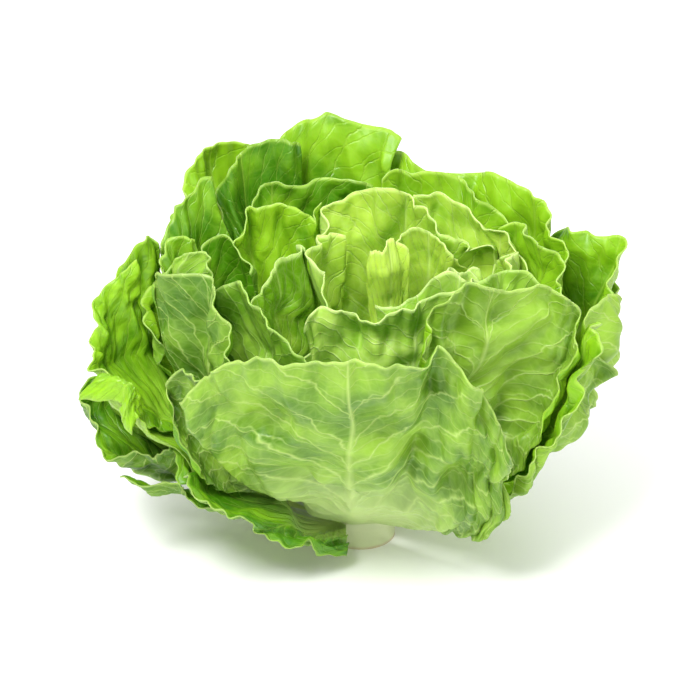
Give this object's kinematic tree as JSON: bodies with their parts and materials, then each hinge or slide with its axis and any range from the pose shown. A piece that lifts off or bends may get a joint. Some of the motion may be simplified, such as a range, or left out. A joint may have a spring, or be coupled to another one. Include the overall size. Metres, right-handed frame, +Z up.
{
  "type": "head of lettuce",
  "caption": "Loose head of butterhead lettuce: broad waved leaves cupped round a pale heart, growing from a short stem cut flat, on which the head stands.",
  "frame": {"origin": "middle of the stem's flat cut face, which the head stands on", "axes": "+Z up along the stem towards the heart; -Y is the side with the large front leaf; +X is to the right seen from there"},
  "size_m": [0.2639, 0.2286, 0.1864],
  "materials": {
    "stem": "pale, moist and nearly white, with a slightly browned cut face",
    "heart_leaf": "tender yellow-green leaf with a soft waxy sheen",
    "middle_leaf": "fresh green leaf with paler veins and a soft waxy sheen",
    "outer_leaf": "deeper green leaf, whitish green on its underside, with branching pale veins"
  },
  "bodies": {
    "root": {"stem": "stem", "heart_leaf_1": "heart_leaf", "heart_leaf_2": "heart_leaf", "heart_leaf_3": "heart_leaf", "heart_leaf_4": "heart_leaf", "inner_leaf_1": "heart_leaf", "inner_leaf_2": "heart_leaf", "inner_leaf_3": "heart_leaf", "inner_leaf_4": "heart_leaf", "inner_leaf_5": "heart_leaf", "inner_leaf_6": "heart_leaf", "middle_leaf_1": "middle_leaf", "middle_leaf_2": "middle_leaf", "middle_leaf_3": "middle_leaf", "middle_leaf_4": "middle_leaf", "middle_leaf_5": "middle_leaf", "middle_leaf_6": "middle_leaf", "middle_leaf_7": "middle_leaf", "middle_leaf_8": "middle_leaf", "middle_leaf_9": "middle_leaf", "outer_leaf_1": "outer_leaf", "outer_leaf_2": "outer_leaf", "outer_leaf_3": "outer_leaf", "outer_leaf_4": "outer_leaf", "outer_leaf_5": "outer_leaf", "outer_leaf_6": "outer_leaf", "outer_leaf_7": "outer_leaf", "outer_leaf_8": "outer_leaf", "outer_leaf_9": "outer_leaf", "outer_leaf_10": "outer_leaf", "outer_leaf_11": "outer_leaf", "outer_leaf_12": "outer_leaf", "back_leaf_1": "outer_leaf", "back_leaf_2": "outer_leaf", "back_leaf_3": "outer_leaf", "back_leaf_4": "outer_leaf", "low_leaf_1": "outer_leaf", "low_leaf_2": "outer_leaf", "low_leaf_3": "outer_leaf", "front_leaf": "outer_leaf", "right_leaf": "outer_leaf", "left_leaf": "outer_leaf", "curled_leaf": "outer_leaf", "ruffled_leaf": "outer_leaf"}
  },
  "joints": []
}
